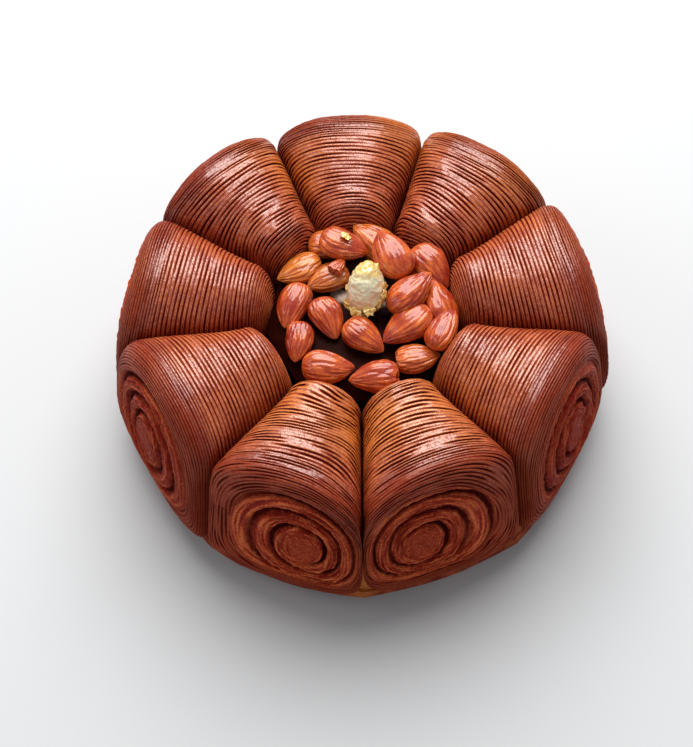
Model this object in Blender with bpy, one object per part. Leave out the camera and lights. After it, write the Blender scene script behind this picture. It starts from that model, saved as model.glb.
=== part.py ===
"""Galette des rois baked as a crown.

Nine rolls of laminated dough stand side by side on a thin base sheet. Each roll lies with its axis
on a radius of the crown: a spiral shows on its domed outer end, layers run round it as ridges, and
its nose points at the middle. The well between the noses holds a praline bed with glazed almonds,
one of them wrapped in gold leaf. Metres, +Z up, origin under the middle of the base.
"""
import math
import random

import bmesh
import bpy
from mathutils import Euler, Matrix, Vector, noise
from mathutils.bvhtree import BVHTree

MM = 0.001
GAP = 0.3 * MM                     # clear space between pieces that touch

# Base sheet
BASE_RADIUS = 104.2 * MM
BASE_THICKNESS = 2.6 * MM
BASE_WAVE = 0.8 * MM
BASE_SIDES = 72
GUSSET_WIDTH = 15 * MM             # the dough corner pinched up at the foot of each seam
GUSSET_HEIGHT = 12 * MM
GUSSET_DEPTH = 9 * MM
GUSSET_LEAN = 6 * MM
GUSSET_RADIUS = 104.5 * MM         # its outer foot, where the rolls leave room for it
GUSSET_START = 122 * MM            # well outside the crown, from where a gusset is pushed in
TONGUE_RADIUS = 106 * MM           # the sheet reaches out this far under a gusset
TONGUE_SPREAD = math.radians(5)

# The crown of rolls, measured along a roll's own radius
EYE_RADIUS = 107.6 * MM            # the spiral's eye on the outer end
SHOULDER_RADIUS = 95.5 * MM        # where the outer end turns into the flank
NOSE_RADIUS = 50 * MM              # where the flank turns into the nose
TIP_RADIUS = 38.5 * MM             # the nose's tip
LEAN = 0.146                       # the outer end leans back by this slope
ROLL_FLOOR = BASE_THICKNESS + GAP
TOP_OUTER = 84 * MM                # crest height at the shoulder
TOP_INNER = 79.5 * MM              # crest height at the nose
MIDDLE = 37 * MM                   # height of a section's widest line
EYE_HEIGHT = 47.5 * MM
EYE_PULL = 2.5                     # how closely the shift of the spiral's eye keeps to the eye
FACE_POWER = 2.41
NOSE_POWER = 1.95
SQUARE_TOP = 2.2                   # how square a section is above and below its widest line
SQUARE_FOOT = 2.8
OVERFILL = 1.24                    # a section's free width against the wedge that it is pressed into
PRESS_SOFTNESS = 2.2 * MM
FACE_SIZE = 38 * MM                # the outer end from its eye to its rim, on average
FACE_WIDTH = 35 * MM               # the spiral's own half width and half height, taller than wide
FACE_RISE = 46 * MM
ROUND_UNTIL = 0.85                 # rings nearer the eye than this share of the end are round
LUMP_HEIGHT = 0.9 * MM             # slow unevenness of the dough
LUMP_SIZE = 24 * MM

# Seams between the rolls, in degrees from +X, running clockwise from the seam before the back roll
SEAMS = (112.4, 72.7, 33.9, -7.9, -49.9, -90.3, -129.3, -171.9, -210.5)
# For each roll: crest lift, tip set-back, eye offset along the face, turn of the spiral, how far
# its outer end stands out, and where round the eye the spiral starts
ROLL_TRAITS = (
    (-0.5 * MM, 2.0 * MM, 2.0 * MM, 1, 0.5 * MM, 0.0),
    (-1.0 * MM, 1.5 * MM, 3.0 * MM, -1, 0.5 * MM, 0.4),
    (0.0 * MM, 0.5 * MM, -3.0 * MM, 1, 0.0 * MM, 0.8),
    (0.5 * MM, 0.0 * MM, 0.0 * MM, 1, -2.0 * MM, 0.2),
    (0.6 * MM, -0.5 * MM, -13.0 * MM, -1, -1.5 * MM, 0.35),
    (0.4 * MM, -0.6 * MM, 11.5 * MM, 1, 0.8 * MM, -0.45),
    (0.2 * MM, 0.0 * MM, -2.0 * MM, -1, -0.3 * MM, 0.1),
    (-0.8 * MM, 0.0 * MM, 2.0 * MM, -1, 0.0 * MM, 0.6),
    (0.0 * MM, 1.5 * MM, -2.0 * MM, 1, 2.0 * MM, 0.5),
)

# Relief on a roll
ROLL_SIDES = 20
SPIRAL_PITCH = 7.0 * MM            # the thickness of one turn of dough
SPIRAL_DEPTH = 2.2 * MM
SPIRAL_INNER = 8 * MM              # the core within is solid
SPIRAL_FADE = 3 * MM
FACE_STEP = 1.6 * MM
FACE_RINGS = 12
RIM_RINGS = 2
FLANK_RINGS = 13                   # crest, groove, crest, and so on
NOSE_RINGS = 3
RIDGE_DEPTH = 0.9 * MM

# Praline bed in the well
BED_RADIUS = 46 * MM               # as far as it runs out where no nose stops it
BED_CLEARANCE = 0.7 * MM
BED_TOP = 62 * MM
BED_DOME = 2.5 * MM
BED_LEVELS = 8
BED_SIDES = 45

# Almonds
ALMOND_WIDTH = 0.63                # of its length
ALMOND_THICKNESS = 0.42
ALMOND_SIDES = 8
ALMOND_RINGS = 6
SETTLE_STEP = 0.4 * MM
SETTLE_START = 96 * MM
SETTLE_DRIFT = 4.5 * MM            # how far an almond may slide while it settles
# Name, centre x and y, direction of the tip, rise of the tip, roll about its length, length
ALMONDS = (
    ("almond_01", -29.5, 4, -110, -8, 12, 22.5),
    ("almond_02", -27.5, -14.5, 83, 6, 4, 19.5),
    ("almond_03", -16, -27.5, -5, 0, 10, 23),
    ("almond_04", 5, -34.5, 0, 4, 6, 23),
    ("almond_05", 24, -24, 4, 6, 0, 20.5),
    ("almond_06", -27.5, 23.5, -152, -6, 8, 21.5),
    ("almond_07", -12.5, 38, 178, 4, 4, 21.5),
    ("almond_08", 33.5, 26, -54, -12, 14, 24.5),
    ("almond_09", 38, 6, 104, 10, 24, 24.5),
    ("almond_10", 35.5, -10.5, -117, -8, 30, 21),
    ("almond_11", 8, 39.5, 142, 14, 0, 25.5),
    ("almond_12", -16.5, 18, -158, -4, -6, 20),
    ("almond_13", -16.5, -3, -66, -10, 2, 21),
    ("almond_14", 1.5, -13, -37, -12, 0, 21),
    ("almond_15", 18, -8.5, 36, 10, -8, 25),
    ("almond_16", 14, 25.5, -62, -8, 6, 25),
    ("almond_17", 21, 9.5, -140, -14, 10, 25),
    ("almond_18", -4, 29.5, 159, 6, 4, 22.5),
    ("broken_almond", -5.5, 22, -168, 0, 0, 11),
)
GILDED_PLACE = (2.5, 7.5)
GILDED_LENGTH = 25 * MM
GILDED_WIDTH = 17.5 * MM
GILDED_TILT = 62                   # degrees up from lying flat
GILDED_HEADING = 80
GILDED_SIDES = 14
GILDED_RINGS = 12
CRUMPLE = 0.7 * MM

BROWN_CRUST = (0.235, 0.062, 0.022, 1)
BASE_CRUST = (0.33, 0.12, 0.045, 1)
ALMOND_SKIN = (0.42, 0.11, 0.03, 1)
PRALINE = (0.30, 0.14, 0.07, 1)
GOLD = (0.86, 0.62, 0.20, 1)


def clear_scene():
    for item in list(bpy.data.objects):
        bpy.data.objects.remove(item, do_unlink=True)


def new_collection(name):
    collection = bpy.data.collections.new(name)
    bpy.context.scene.collection.children.link(collection)
    return collection


def finish(name, colour, roughness, metallic=0.0):
    """A plain surface for one kind of piece."""
    material = bpy.data.materials.new(name)
    material.use_nodes = True
    shader = material.node_tree.nodes["Principled BSDF"]
    shader.inputs["Base Color"].default_value = colour
    shader.inputs["Roughness"].default_value = roughness
    shader.inputs["Metallic"].default_value = metallic
    material.diffuse_color = colour
    return material


def add_piece(shape, name, material, collection, parent):
    """Turn a finished bmesh into an object of the crown."""
    mesh = bpy.data.meshes.new(name)
    shape.to_mesh(mesh)
    shape.free()
    mesh.materials.append(material)
    mesh.shade_smooth()
    piece = bpy.data.objects.new(name, mesh)
    collection.objects.link(piece)
    piece.parent = parent
    return piece


def signed_power(value, power):
    return math.copysign(abs(value) ** power, value)


def pressed(across, limit):
    """A free width flattened softly against a seam."""
    soft = PRESS_SOFTNESS
    near = -soft * math.log(math.exp(-abs(across) / soft) + math.exp(-limit / soft))
    return math.copysign(near + soft * math.log(1 + math.exp(-limit / soft)), across)


def roll_rings():
    """One (part, place) pair for each ring of a roll, from the eye to the tip."""
    spiral_end = SPIRAL_INNER + (FACE_RINGS - 1) * FACE_STEP
    rings = [("face", (SPIRAL_INNER + k * FACE_STEP) / FACE_SIZE) for k in range(FACE_RINGS)]
    for k in range(RIM_RINGS):
        rim = spiral_end + (FACE_SIZE - spiral_end) * (k + 1) / (RIM_RINGS + 0.6)
        rings.append(("face", rim / FACE_SIZE))
    rings += [("flank", k / (FLANK_RINGS - 1)) for k in range(FLANK_RINGS)]
    rings += [("nose", (k + 1) / (NOSE_RINGS + 1)) for k in range(NOSE_RINGS)]
    return rings


def smooth(value):
    value = min(1.0, max(0.0, value))
    return value * value * (3 - 2 * value)


def relief(part, place, angle, hand, start):
    """How deep the spiral groove or a groove between ridges is sunk at a place of a roll."""
    if part == "face":
        turns = place * FACE_SIZE / SPIRAL_PITCH - hand * angle / math.tau + start
        fade = smooth((0.8 - place) / 0.16) * smooth((place * FACE_SIZE - SPIRAL_INNER) / SPIRAL_FADE)
        return SPIRAL_DEPTH * fade * (0.5 + 0.5 * math.cos(math.tau * turns)) ** 1.5
    if part == "flank":
        return RIDGE_DEPTH * (round(place * (FLANK_RINGS - 1)) % 2)
    return 0.0


def roll_point(part, place, angle, half_wedge, traits):
    """A point of a roll as its reach from the crown's middle, its place across, and its height."""
    lift, set_back, eye_across, hand, stand_out, start = traits
    shoulder = SHOULDER_RADIUS + stand_out
    nose = NOSE_RADIUS + set_back
    sunk = relief(part, place, angle, hand, start)
    scale, drift, facing = 1.0, 0.0, 0.0
    if part == "face":
        scale = place
        drift = (1 - scale ** FACE_POWER) ** (1 / FACE_POWER)
        outward = drift ** (FACE_POWER - 1) / (EYE_RADIUS - SHOULDER_RADIUS)
        sideward = scale ** (FACE_POWER - 1) / FACE_SIZE
        facing = outward / math.hypot(outward, sideward)
        reach = shoulder + (EYE_RADIUS - SHOULDER_RADIUS) * drift - sunk * facing
    elif part == "flank":
        reach = shoulder + (nose - shoulder) * place
    else:
        reach = nose - (NOSE_RADIUS - TIP_RADIUS) * math.sin(place * math.pi / 2)
        scale = math.cos(place * math.pi / 2) ** (2 / NOSE_POWER)
    run = max(min(reach, shoulder), nose)
    along = smooth((run - nose) / (shoulder - nose))
    top = TOP_INNER + (TOP_OUTER - TOP_INNER) * along + lift
    roundness = 1 - smooth(scale / ROUND_UNTIL) if part == "face" else 0.0
    above = math.sin(angle) >= 0
    rise = (top - MIDDLE) if above else (MIDDLE - ROLL_FLOOR)
    rise = rise * (1 - roundness) + FACE_RISE * roundness
    width = run * math.tan(half_wedge) * OVERFILL
    width = width * (1 - roundness) + FACE_WIDTH * roundness
    power = 2 / ((SQUARE_TOP if above else SQUARE_FOOT) * (1 - roundness) + 2 * roundness)
    inset = sunk * math.sqrt(1 - facing ** 2)
    height = MIDDLE + (rise * scale - inset) * signed_power(math.sin(angle), power)
    height = max(height + drift ** 1.6 * (EYE_HEIGHT - MIDDLE), ROLL_FLOOR)
    shear = LEAN * (height - EYE_HEIGHT) * along
    seam = (run - shear) * math.tan(half_wedge)
    across = pressed((width * scale - inset) * signed_power(math.cos(angle), power), seam)
    across += drift ** EYE_PULL * eye_across
    reach -= shear
    limit = reach * math.tan(half_wedge) - GAP * 0.6
    return reach, max(-limit, min(limit, across)), height


def lump(point):
    """Slow unevenness of the dough, the same on both sides of a seam."""
    return noise.noise(point / LUMP_SIZE) * LUMP_HEIGHT


def make_roll(number, material, collection, parent):
    """One roll of laminated dough: a sphere's rings drawn out along the radius, pressed at the seams."""
    axis, half_wedge = wedge(number)
    radial = Vector((math.cos(axis), math.sin(axis), 0))
    tangent = Vector((-math.sin(axis), math.cos(axis), 0))
    rings = [("face", 0.0)] + roll_rings() + [("nose", 1.0)]
    shape = bmesh.new()
    bmesh.ops.create_uvsphere(shape, u_segments=ROLL_SIDES, v_segments=len(rings) - 1, radius=1)
    for vertex in shape.verts:
        row = round(math.acos(max(-1, min(1, vertex.co.z))) / math.pi * (len(rings) - 1))
        angle = math.atan2(vertex.co.y, vertex.co.x)
        reach, across, height = roll_point(*rings[row], angle, half_wedge, ROLL_TRAITS[number])
        point = radial * reach + tangent * across + Vector((0, 0, height))
        above = smooth((height - ROLL_FLOOR) / (MIDDLE - ROLL_FLOOR))
        vertex.co = point + (radial * 0.5 + Vector((0, 0, 0.8))) * lump(point) * above
    return add_piece(shape, f"roll_{number + 1}", material, collection, parent)


def wedge(number):
    """The direction of a roll's axis and half the angle between its seams, in radians."""
    start, end = SEAMS[number], SEAMS[(number + 1) % len(SEAMS)]
    if end > start:
        end -= 360
    return math.radians((start + end) / 2), math.radians((start - end) / 2)


def swollen(shape, amount):
    """The shape's vertices and faces, pushed outward by an amount."""
    shape.normal_update()
    points = [vertex.co + vertex.normal * amount for vertex in shape.verts]
    faces = [[vertex.index for vertex in face.verts] for face in shape.faces]
    return points, faces


def solid_tree(piece):
    """A collision tree of a piece as it stands."""
    shape = bmesh.new()
    shape.from_mesh(piece.data)
    tree = BVHTree.FromBMesh(shape)
    shape.free()
    return tree


def gusset_shape():
    """A small three-sided dough corner, its narrow side inward and its foot sunk in the sheet."""
    shape = bmesh.new()
    bmesh.ops.create_cone(shape, cap_ends=True, segments=3, radius1=1, radius2=0.12, depth=GUSSET_HEIGHT)
    for vertex in shape.verts:
        level = vertex.co.z / GUSSET_HEIGHT + 0.5
        side, inward = vertex.co.x, vertex.co.y
        vertex.co.x = -(inward + 0.5) / 1.5 * GUSSET_DEPTH - level * GUSSET_LEAN
        vertex.co.y = side * GUSSET_WIDTH / math.sqrt(3)
        vertex.co.z = BASE_THICKNESS * 0.4 + level * GUSSET_HEIGHT
    bmesh.ops.recalc_face_normals(shape, faces=shape.faces)
    return shape


def push_in(shape, turn, solids):
    """How far in a shape can be pushed along a seam until it would touch the rolls."""
    points, faces = swollen(shape, GAP * 1.2)
    reach = GUSSET_START
    while reach > GUSSET_RADIUS:
        place = turn @ Matrix.Translation((reach - SETTLE_STEP, 0, 0))
        tree = BVHTree.FromPolygons([place @ point for point in points], faces)
        if any(tree.overlap(solid) for solid in solids):
            break
        reach -= SETTLE_STEP
    return reach


def make_base(material, collection, parent, cutters, solids):
    """The thin sheet under the rolls, with a corner of dough pinched up at the foot of each seam."""
    reaches = []
    for number, seam in enumerate(SEAMS):
        gusset = gusset_shape()
        turn = Matrix.Rotation(math.radians(seam), 4, "Z")
        reaches.append(push_in(gusset, turn, solids))
        place = turn @ Matrix.Translation((reaches[-1], 0, 0))
        bmesh.ops.transform(gusset, matrix=place, verts=gusset.verts)
        add_piece(gusset, f"gusset_{number + 1}", material, cutters, None)
    shape = bmesh.new()
    bmesh.ops.create_cone(shape, cap_ends=True, segments=BASE_SIDES, radius1=BASE_RADIUS,
                          radius2=BASE_RADIUS - BASE_THICKNESS / 2, depth=BASE_THICKNESS)
    for vertex in shape.verts:
        angle = math.atan2(vertex.co.y, vertex.co.x)
        wave = BASE_WAVE * math.sin(5 * angle + 1) * math.cos(2 * angle)
        for seam, reach in zip(SEAMS, reaches):
            apart = math.remainder(angle - math.radians(seam), math.tau) / TONGUE_SPREAD
            wave += (max(TONGUE_RADIUS, reach + GAP) - BASE_RADIUS) * math.exp(-apart ** 2)
        vertex.co.x += math.cos(angle) * wave
        vertex.co.y += math.sin(angle) * wave
        vertex.co.z += BASE_THICKNESS / 2
    base = add_piece(shape, "base_sheet", material, collection, parent)
    join = base.modifiers.new("gussets", "BOOLEAN")
    join.operation = "UNION"
    join.solver = "EXACT"
    join.operand_type = "COLLECTION"
    join.collection = cutters
    apply_modifiers(base)
    for gusset in list(cutters.objects):
        bpy.data.objects.remove(gusset, do_unlink=True)
    return base


def apply_modifiers(piece):
    """Keep the shape that a piece's modifiers give."""
    view = bpy.context.evaluated_depsgraph_get()
    mesh = bpy.data.meshes.new_from_object(piece.evaluated_get(view))
    piece.modifiers.clear()
    piece.data = mesh


def make_bed(material, collection, parent, solids):
    """The praline that fills the well: a cylinder whose wall runs out until it meets the noses."""
    shape = bmesh.new()
    spread = math.tau / BED_SIDES
    bmesh.ops.create_uvsphere(shape, u_segments=BED_SIDES, v_segments=BED_LEVELS + 2, radius=1)
    for vertex in shape.verts:
        level = round(math.acos(max(-1, min(1, vertex.co.z))) / math.pi * (BED_LEVELS + 2))
        down = max(0, min(1, (level - 1) / BED_LEVELS))
        height = BED_TOP - BED_DOME + (ROLL_FLOOR - BED_TOP + BED_DOME) * down
        if level in (0, BED_LEVELS + 2):
            vertex.co = Vector((0, 0, BED_TOP if level == 0 else ROLL_FLOOR))
            continue
        heading = math.atan2(vertex.co.y, vertex.co.x)
        nearest = BED_RADIUS + BED_CLEARANCE
        for step in (-0.6, 0, 0.6):
            aim = Vector((math.cos(heading + step * spread), math.sin(heading + step * spread), 0))
            hits = [solid.ray_cast(Vector((0, 0, height)), aim)[3] for solid in solids]
            nearest = min([nearest] + [hit for hit in hits if hit])
        outward = Vector((math.cos(heading), math.sin(heading), 0))
        vertex.co = outward * (nearest - BED_CLEARANCE) + Vector((0, 0, height))
    return add_piece(shape, "praline_bed", material, collection, parent)


def almond_shape(length, width, thickness, sides, rings, broken=False):
    """An almond on its side, tip towards +X."""
    shape = bmesh.new()
    bmesh.ops.create_uvsphere(shape, u_segments=sides, v_segments=rings, radius=1)
    for vertex in shape.verts:
        turn = math.acos(max(-1, min(1, vertex.co.z)))
        around = math.atan2(vertex.co.y, vertex.co.x)
        plump = math.sin(turn) ** 0.9 * math.sin(turn / 2) ** 0.6 / 0.86
        along = math.cos(turn)
        if broken:
            along = max(along, -0.35)
        vertex.co = Vector((along * length / 2, math.cos(around) * plump * width / 2,
                            math.sin(around) * plump * thickness / 2))
    return shape


def settle(shape, x, y, turn, solids):
    """Shake a turned shape down at a place until it would touch what already lies all round it."""
    bmesh.ops.transform(shape, matrix=turn, verts=shape.verts)
    points, faces = swollen(shape, GAP * 1.2)
    home = Vector((x, y))
    place = Vector((x, y, SETTLE_START))
    shakes = [Vector((0, 0))]
    for reach in (SETTLE_STEP, 2 * SETTLE_STEP):
        for k in range(8):
            shakes.append(Vector((math.cos(k * math.pi / 4), math.sin(k * math.pi / 4))) * reach)
    lowered = True
    while lowered:
        lowered = False
        for shake in shakes:
            trial = place + Vector((*shake, -SETTLE_STEP))
            if (trial.xy - home).length > SETTLE_DRIFT:
                continue
            tree = BVHTree.FromPolygons([point + trial for point in points], faces)
            if not any(tree.overlap(solid) for solid in solids):
                place = trial
                lowered = True
                break
    bmesh.ops.translate(shape, vec=place, verts=shape.verts)


def make_almonds(skin, gold, collection, parent, solids):
    """Lay the almonds on the bed, each on those that came before it, and the gilded one last."""
    for name, x, y, heading, rise, roll, length in ALMONDS:
        length *= MM
        broken = name == "broken_almond"
        shape = almond_shape(length, length * ALMOND_WIDTH, length * ALMOND_THICKNESS,
                             ALMOND_SIDES, ALMOND_RINGS, broken)
        turn = Euler((math.radians(roll), math.radians(-rise), math.radians(heading))).to_matrix().to_4x4()
        settle(shape, x * MM, y * MM, turn, solids)
        solids.append(solid_tree(add_piece(shape, name, skin, collection, parent)))
    random.seed(7)
    shape = almond_shape(GILDED_LENGTH, GILDED_WIDTH, GILDED_WIDTH, GILDED_SIDES, GILDED_RINGS)
    for vertex in shape.verts:
        outward = Vector((0, vertex.co.y, vertex.co.z))
        wrinkle = noise.noise(vertex.co / (3 * MM)) * CRUMPLE + random.uniform(-0.2, 0.2) * MM
        if outward.length > MM:
            vertex.co += outward.normalized() * wrinkle
    turn = Euler((0, math.radians(-GILDED_TILT), math.radians(GILDED_HEADING))).to_matrix().to_4x4()
    settle(shape, GILDED_PLACE[0] * MM, GILDED_PLACE[1] * MM, turn, solids)
    add_piece(shape, "gilded_almond", gold, collection, parent)


def main():
    clear_scene()
    collection = new_collection("galette_des_rois")
    cutters = new_collection("gussets")
    crown = bpy.data.objects.new("crown", None)
    collection.objects.link(crown)

    crust = finish("browned_crust", BROWN_CRUST, 0.42)
    base_crust = finish("base_crust", BASE_CRUST, 0.6)
    praline = finish("praline", PRALINE, 0.3)
    skin = finish("almond_skin", ALMOND_SKIN, 0.25)
    gold = finish("gold_leaf", GOLD, 0.3, 1.0)

    rolls = [make_roll(number, crust, collection, crown) for number in range(len(SEAMS))]
    solids = [solid_tree(roll) for roll in rolls]
    make_base(base_crust, collection, crown, cutters, solids)
    bed = make_bed(praline, collection, crown, solids)
    make_almonds(skin, gold, collection, crown, solids + [solid_tree(bed)])
    bpy.data.collections.remove(cutters)


main()
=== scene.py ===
# %% [markdown]
# # A galette des rois baked as a crown
# Nine rolls of laminated dough stand side by side on a thin sheet of the same dough. Each one shows
# a spiral on its outer end and fine layers round its back, and its nose points at a well full of
# praline and glazed almonds. One almond, the lucky one, is wrapped in gold leaf.
# The packed solids are loaded first: every piece below is fitted to them and rides on them.

# %% Load the frame
import math
import random

import bmesh
import bpy
import numpy as np
from mathutils import Matrix, Vector, noise


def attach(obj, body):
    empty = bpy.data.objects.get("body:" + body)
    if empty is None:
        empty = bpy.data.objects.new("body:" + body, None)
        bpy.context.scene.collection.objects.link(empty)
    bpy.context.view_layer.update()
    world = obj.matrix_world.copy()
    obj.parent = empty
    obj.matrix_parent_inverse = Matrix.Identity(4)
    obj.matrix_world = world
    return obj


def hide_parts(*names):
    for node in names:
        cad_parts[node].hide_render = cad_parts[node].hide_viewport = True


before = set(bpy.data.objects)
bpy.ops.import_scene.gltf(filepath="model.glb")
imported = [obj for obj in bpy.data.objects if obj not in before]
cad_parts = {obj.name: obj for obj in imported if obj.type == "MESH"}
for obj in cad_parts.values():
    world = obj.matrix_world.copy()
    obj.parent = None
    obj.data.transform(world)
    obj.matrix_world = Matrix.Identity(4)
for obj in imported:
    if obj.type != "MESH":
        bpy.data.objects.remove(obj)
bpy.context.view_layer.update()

MM = 0.001
print("solids loaded:", len(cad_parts))

# %% [markdown]
# ## Arithmetic on sockets
# A baked surface is never one colour, so its material is a small program. It could be wired by hand
# in the node editor, but sums read better as Python: the class below wraps a socket, and each
# operator adds the Math node that does it.

# %% Sockets that can be added and multiplied
class Wire:
    """An output socket of one finish, in a form that sums can be written with."""

    def __init__(self, finish, socket):
        self.finish = finish
        self.socket = socket

    def _math(self, operation, first, second):
        return self.finish.wire("Math", {"operation": operation}, {0: first, 1: second})

    def __add__(self, other):
        return self._math("ADD", self, other)

    def __radd__(self, other):
        return self._math("ADD", other, self)

    def __sub__(self, other):
        return self._math("SUBTRACT", self, other)

    def __rsub__(self, other):
        return self._math("SUBTRACT", other, self)

    def __mul__(self, other):
        return self._math("MULTIPLY", self, other)

    def __rmul__(self, other):
        return self._math("MULTIPLY", other, self)

    def clamped(self):
        """The same value, held between 0 and 1."""
        return self.finish.wire("Clamp", {}, {0: self})

    def between(self, low, high):
        """0 below low, 1 above high, and a soft step from one to the other."""
        return self.finish.wire("MapRange", {"interpolation_type": "SMOOTHSTEP"},
                                {"Value": self, "From Min": low, "From Max": high})


print("operators:", [name for name in ("add", "sub", "mul") if hasattr(Wire, f"__{name}__")])

# %% [markdown]
# ## One finish
# A finish is one Principled material. What is the same all over a surface is set on the shader's own
# sockets, and only what varies is linked to nodes. Patterns read the place of a point on the crown,
# or a number that the mesh keeps at each vertex, so nothing has to be wrapped round a piece.

# %% A material with short ways to add nodes
MIX_SHARE, MIX_FIRST, MIX_SECOND = 0, 6, 7      # the Mix node's sockets for colours
MIX_RESULT = 2


class Finish:
    """One material, with short ways to add nodes to it."""

    def __init__(self, name, **surface):
        self.material = bpy.data.materials.new(name)
        self.material.use_nodes = True
        self.tree = self.material.node_tree
        self.shader = self.tree.nodes["Principled BSDF"]
        for socket, value in surface.items():
            self.shader.inputs[socket.replace("_", " ")].default_value = value

    def node(self, kind, settings, inputs):
        """Any node: its settings come first, then the values or links of its sockets."""
        node = self.tree.nodes.new("ShaderNode" + kind)
        for name, value in settings.items():
            setattr(node, name, value)
        for name, value in inputs.items():
            if isinstance(value, Wire):
                self.tree.links.new(value.socket, node.inputs[name])
            else:
                node.inputs[name].default_value = value
        return node

    def wire(self, kind, settings, inputs, output=0):
        return Wire(self, self.node(kind, settings, inputs).outputs[output])

    def mix(self, share, first, second):
        """A colour between two others."""
        inputs = {MIX_SHARE: share, MIX_FIRST: first, MIX_SECOND: second}
        return self.wire("Mix", {"data_type": "RGBA"}, inputs, MIX_RESULT)

    def attribute(self, name):
        """A number that the mesh keeps at each vertex."""
        return self.wire("Attribute", {"attribute_name": name}, {}, "Fac")

    def clouds(self, size, detail, stretch=None, roughness=0.5):
        """Soft noise from 0 to 1 whose patches are about this size, in metres."""
        place = self.wire("TexCoord", {}, {}, "Object")
        if stretch:
            place = self.wire("Mapping", {}, {"Vector": place, "Scale": stretch})
        inputs = {"Vector": place, "Scale": 1 / size, "Detail": detail, "Roughness": roughness}
        return self.wire("TexNoise", {}, inputs, "Fac")

    def surface(self, socket, value):
        """Let a value that varies drive one of the shader's sockets."""
        self.tree.links.new(value.socket, self.shader.inputs[socket])

    def relief(self, height, depth, strength):
        """Fine relief, in metres, that the mesh is too coarse for."""
        bump = self.wire("Bump", {}, {"Height": height, "Distance": depth, "Strength": strength})
        self.surface("Normal", bump)


print("ways to add nodes:", [name for name in vars(Finish) if not name.startswith("_")])

# %% [markdown]
# ## Camera, floor and light
# The crown is seen from the front and well above, through a long lens. The floor is pale and the
# light is soft: one large panel behind and above, which puts a line of light on every ridge, a
# faint one from the left, and an even, weaker light all round.

# %% Camera
IMAGE_WIDTH, IMAGE_HEIGHT = 693, 747
VIEW_HEIGHT = math.radians(58)      # how far above the horizon the camera stands
VIEW_ROLL = math.radians(-0.78)
VIEW_DISTANCE = 803.3 * MM
VIEW_TARGET = Vector((0, 0, 30 * MM))
FOCAL_PIXELS = 1763.75
MIDDLE_PIXEL = (361.5, 355.4)       # where the line of sight meets the picture
SENSOR = 36

camera_data = bpy.data.cameras.new("camera")
camera = bpy.data.objects.new("camera", camera_data)
bpy.context.scene.collection.objects.link(camera)
bpy.context.scene.camera = camera
bpy.context.scene.view_settings.view_transform = "Standard"
camera_data.sensor_width = SENSOR
camera_data.sensor_fit = "HORIZONTAL"
camera_data.lens = FOCAL_PIXELS / IMAGE_WIDTH * SENSOR
camera_data.shift_x = (IMAGE_WIDTH / 2 - MIDDLE_PIXEL[0]) / IMAGE_WIDTH
camera_data.shift_y = (MIDDLE_PIXEL[1] - IMAGE_HEIGHT / 2) / IMAGE_WIDTH
backward = Vector((0, -math.cos(VIEW_HEIGHT), math.sin(VIEW_HEIGHT)))
stand = Matrix.Translation(VIEW_TARGET + backward * VIEW_DISTANCE)
turn = backward.to_track_quat("Z", "Y").to_matrix().to_4x4()
camera.matrix_world = stand @ turn @ Matrix.Rotation(VIEW_ROLL, 4, "Z")
print("camera lens:", round(camera_data.lens, 1), "mm")


# %% Floor
FLOOR_SIZE = 6.0
FLOOR_COLOUR = (0.615, 0.635, 0.65, 1)

floor_shape = bmesh.new()
bmesh.ops.create_grid(floor_shape, x_segments=1, y_segments=1, size=FLOOR_SIZE / 2)
floor_mesh = bpy.data.meshes.new("floor")
floor_shape.to_mesh(floor_mesh)
floor_shape.free()
floor = bpy.data.objects.new("floor", floor_mesh)
bpy.context.scene.collection.objects.link(floor)
pale = Finish("pale_floor", Roughness=0.7, Base_Color=FLOOR_COLOUR)
floor_mesh.materials.append(pale.material)
print("floor:", FLOOR_SIZE, "m wide")

# %% Light
LIGHTS = (                          # name, place, size, watts, colour
    ("back_panel", (0.0, 0.95, 1.35), 1.9, 47, (1.0, 0.975, 0.955)),
    ("left_panel", (-1.3, 0.1, 1.0), 0.8, 2, (1.0, 0.98, 0.96)),
)
ROOM_COLOUR = (0.96, 0.98, 1, 1)
ROOM_LIGHT = 0.34

for name, place, size, watts, colour in LIGHTS:
    panel_data = bpy.data.lights.new(name, "AREA")
    panel_data.shape = "DISK"
    panel_data.size = size
    panel_data.energy = watts
    panel_data.color = colour
    panel = bpy.data.objects.new(name, panel_data)
    bpy.context.scene.collection.objects.link(panel)
    aim = (Vector(place) - VIEW_TARGET).to_track_quat("Z", "Y").to_matrix().to_4x4()
    panel.matrix_world = Matrix.Translation(place) @ aim
room = bpy.data.worlds.new("room")
room.use_nodes = True
room.node_tree.nodes["Background"].inputs["Color"].default_value = ROOM_COLOUR
room.node_tree.nodes["Background"].inputs["Strength"].default_value = ROOM_LIGHT
bpy.context.scene.world = room
print("panels:", len(LIGHTS))

# %% [markdown]
# ## The form of a roll
# A roll is dough wound up like a rug, laid with its axis on a radius of the crown and squeezed
# between its neighbours. It could be sculpted, but nine of them, all a little different, are easier
# from one formula: a ball's rings are drawn out along the radius. The outermost rings make the
# domed outer end with the spiral's eye, the next run down the flank, and the last close the nose.
# Each section is a rounded box wider than its share of the crown, pressed softly at the seams.

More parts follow.
